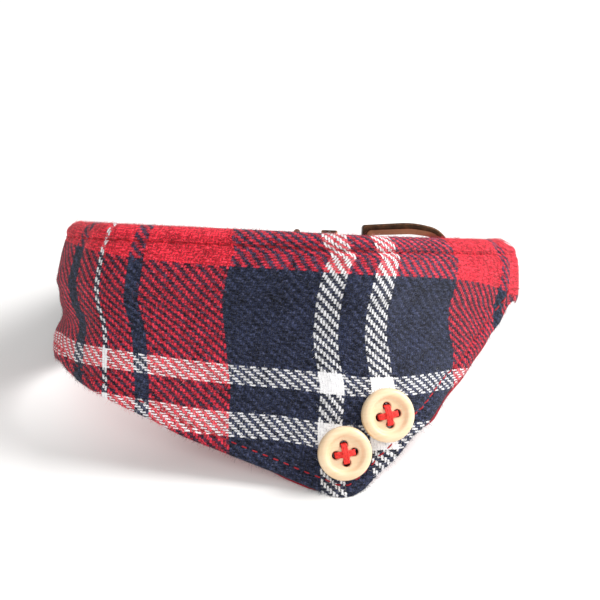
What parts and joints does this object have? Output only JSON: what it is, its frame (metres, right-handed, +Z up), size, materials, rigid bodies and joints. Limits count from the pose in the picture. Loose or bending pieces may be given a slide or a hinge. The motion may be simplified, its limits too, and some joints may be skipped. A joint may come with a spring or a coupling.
{
  "type": "dog bandana collar",
  "caption": "Cloth-covered dog collar fastened by a pin buckle, with a folded plaid bandana over its front and wooden buttons near the point.",
  "frame": {"origin": "centre of the collar's footprint, on the surface that it rests on", "axes": "+Z up, -Y towards the bandana's face and point, +X to the right as the face is looked at"},
  "size_m": [0.1396, 0.1114, 0.0602],
  "materials": {
    "plaid_cloth": "brushed cotton twill woven as a red, navy and white plaid",
    "bronze": "antiqued bronze plating, rubbed bright on its edges",
    "button_wood": "pale smooth-turned wood",
    "red_thread": "twisted sewing thread"
  },
  "bodies": {
    "collar": {"bandana_front": "plaid_cloth", "bandana_lining": "plaid_cloth", "strap": "plaid_cloth", "buckle_frame": "bronze", "buckle_tongue": "bronze", "keeper": "bronze", "button_lower": "button_wood", "button_lower_thread": "red_thread", "button_upper": "button_wood", "button_upper_thread": "red_thread"},
    "ring": {"d_ring": "bronze"}
  },
  "joints": [
    {"name": "ring_swing", "type": "hinge", "parent": "collar", "child": "ring", "pos_m": [0.00078, 0.04286, 0.01263], "axis": [0, 0.5314, 0.8471], "range_deg": [-30, 45]}
  ]
}
